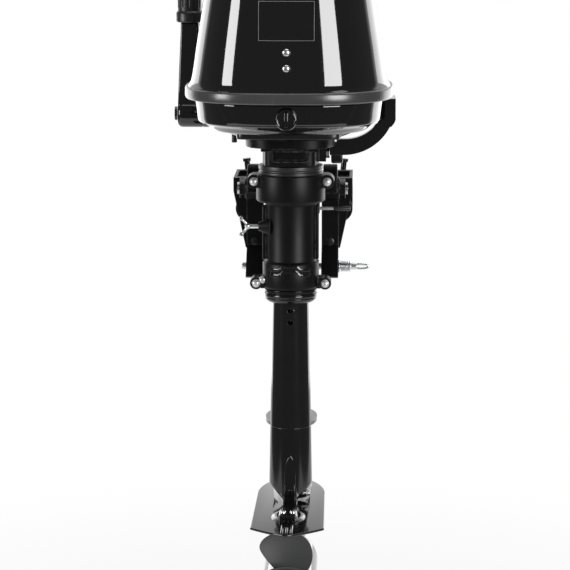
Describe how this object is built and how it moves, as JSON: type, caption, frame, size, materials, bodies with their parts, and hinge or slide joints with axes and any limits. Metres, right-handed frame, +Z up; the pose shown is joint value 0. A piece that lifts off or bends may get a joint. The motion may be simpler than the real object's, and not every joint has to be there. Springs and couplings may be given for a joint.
{
  "type": "outboard motor",
  "caption": "Portable outboard motor with lift-off cowl, folding twist-grip tiller, tilting and steering bracket, screw clamps, slim leg, gearcase and propeller.",
  "frame": {"origin": "middle of the transom seat: on the underside of the clamp hooks, at the transom's aft face", "axes": "+Z up along the leg, +Y forward to the bow, +X to starboard"},
  "size_m": [0.2875, 0.429, 0.9692],
  "materials": {
    "cowl_gloss": "gloss",
    "seal_rubber": "satin",
    "cast_black": "gloss",
    "cast_satin": "satin",
    "zinc": "satin",
    "steel": "satin",
    "bare_alu": "satin",
    "prop_grey": "matte",
    "grip_rubber": "matte",
    "black_plastic": "satin",
    "bush_nylon": "satin",
    "red_plastic": "gloss",
    "plug_ceramic": "gloss"
  },
  "bodies": {
    "clamp": {"clamp_bracket_port": "cast_satin", "clamp_bracket_starboard": "cast_satin", "clamp_bridge": "cast_satin", "tilt_bolt": "zinc", "tilt_nuts": "zinc"},
    "trim_pin": {"trim_pin": "zinc", "trim_pin_spring": "steel"},
    "clamp_pad_port": {"clamp_pad_port": "black_plastic"},
    "clamp_pad_starboard": {"clamp_pad_starboard": "black_plastic"},
    "clamp_screw_port": {"clamp_screw_port": "zinc"},
    "clamp_screw_starboard": {"clamp_screw_starboard": "zinc"},
    "swivel": {"swivel_bracket": "cast_satin", "swivel_cover": "cast_satin", "swivel_bolts": "zinc", "upper_bush": "bush_nylon", "lower_bush": "bush_nylon"},
    "friction_screw": {"friction_screw": "zinc"},
    "motor": {"steering_head": "cast_black", "thrust_collar": "cast_black", "leg_tube": "cast_black", "gearcase": "cast_black", "gearcase_screw": "zinc", "pump_housing": "black_plastic", "intake_grilles": "black_plastic", "bearing_carrier": "bare_alu", "shaft_bearings": "steel", "shaft_seal": "seal_rubber", "steering_bar": "cast_satin", "bar_bolts": "zinc", "lower_cowl": "cowl_gloss", "cowl_seal": "seal_rubber", "front_panel": "cowl_gloss", "crankcase": "bare_alu", "cylinder_head": "bare_alu", "spark_plug": "plug_ceramic", "carburettor": "bare_alu", "ignition_coil": "black_plastic", "recoil_housing": "black_plastic", "fuel_nipple": "black_plastic"},
    "driveline": {"crankshaft": "steel", "flywheel": "bare_alu", "drive_shaft": "steel", "pinion_gear": "steel", "pump_impeller": "seal_rubber"},
    "propeller": {"prop_shaft": "steel", "driven_gear": "steel", "propeller": "prop_grey", "shear_pin": "steel", "prop_nut": "zinc"},
    "tiller": {"tiller_arm": "cast_satin", "tiller_bracket_bolt": "black_plastic"},
    "throttle": {"throttle_grip": "grip_rubber"},
    "cowl": {"upper_cowl": "cowl_gloss", "latch_strap": "steel", "cowl_rivets": "zinc"},
    "latch": {"latch_knob": "black_plastic"},
    "starter": {"starter_handle": "black_plastic"},
    "choke": {"choke_knob": "black_plastic"},
    "stop": {"stop_button": "red_plastic"}
  },
  "joints": [
    {"name": "tilt", "type": "hinge", "parent": "clamp", "child": "swivel", "pos_m": [0, -0.026, 0.002], "axis": [1, 0, 0], "range_deg": [-50, 0]},
    {"name": "steer", "type": "hinge", "parent": "swivel", "child": "motor", "pos_m": [0, -0.105, 0], "axis": [0, 0, 1], "continuous": true},
    {"name": "trim_pin_pull", "type": "slide", "parent": "clamp", "child": "trim_pin", "axis": [1, 0, 0], "range_m": [0, 0.13]},
    {"name": "friction_screw_turn", "type": "hinge", "parent": "swivel", "child": "friction_screw", "pos_m": [-0.05, -0.121, -0.035], "axis": [1, 0, 0], "range_deg": [-180, 180]},
    {"name": "drive_spin", "type": "hinge", "parent": "motor", "child": "driveline", "pos_m": [0, -0.105, 0], "axis": [0, 0, 1], "continuous": true},
    {"name": "propeller_spin", "type": "hinge", "parent": "motor", "child": "propeller", "pos_m": [0, -0.105, -0.488], "axis": [0, 1, 0], "continuous": true},
    {"name": "tiller_fold", "type": "hinge", "parent": "motor", "child": "tiller", "pos_m": [-0.1345, -0.007, 0.098], "axis": [-1, 0, 0], "range_deg": [0, 90]},
    {"name": "throttle_twist", "type": "hinge", "parent": "tiller", "child": "throttle", "pos_m": [-0.1345, -0.007, 0.2], "axis": [0, 0, 1], "range_deg": [0, 80]},
    {"name": "cowl_lift", "type": "slide", "parent": "motor", "child": "cowl", "axis": [0, 0, 1], "range_m": [0, 0.26]},
    {"name": "latch_turn", "type": "hinge", "parent": "motor", "child": "latch", "pos_m": [0, -0.29, 0.118], "axis": [0, 1, 0], "range_deg": [0, 90]},
    {"name": "starter_pull", "type": "slide", "parent": "motor", "child": "starter", "axis": [0, 1, 0], "range_m": [0, 0.07], "stiffness_N_per_m": 60, "springref_m": -0.1},
    {"name": "choke_pull", "type": "slide", "parent": "motor", "child": "choke", "axis": [0, 1, 0], "range_m": [0, 0.018]},
    {"name": "stop_press", "type": "slide", "parent": "motor", "child": "stop", "axis": [0, -1, 0], "range_m": [0, 0.004], "stiffness_N_per_m": 400, "springref_m": -0.004},
    {"name": "clamp_port_slide", "type": "slide", "parent": "clamp", "child": "clamp_pad_port", "axis": [0, 1, 0], "range_m": [-0.016, 0.004]},
    {"name": "clamp_port_turn", "type": "hinge", "parent": "clamp_pad_port", "child": "clamp_screw_port", "pos_m": [-0.06, 0.05, -0.034], "axis": [0, 1, 0], "range_deg": [-1440, 360]},
    {"name": "clamp_starboard_slide", "type": "slide", "parent": "clamp", "child": "clamp_pad_starboard", "axis": [0, 1, 0], "range_m": [-0.016, 0.004]},
    {"name": "clamp_starboard_turn", "type": "hinge", "parent": "clamp_pad_starboard", "child": "clamp_screw_starboard", "pos_m": [0.06, 0.05, -0.034], "axis": [0, 1, 0], "range_deg": [-1440, 360]}
  ],
  "couplings": [
    {"joint": "propeller_spin", "follows": "drive_spin", "ratio": -0.48148},
    {"joint": "clamp_port_slide", "follows": "clamp_port_turn", "m_per_rad": 0.0006366},
    {"joint": "clamp_starboard_slide", "follows": "clamp_starboard_turn", "m_per_rad": 0.0006366}
  ]
}
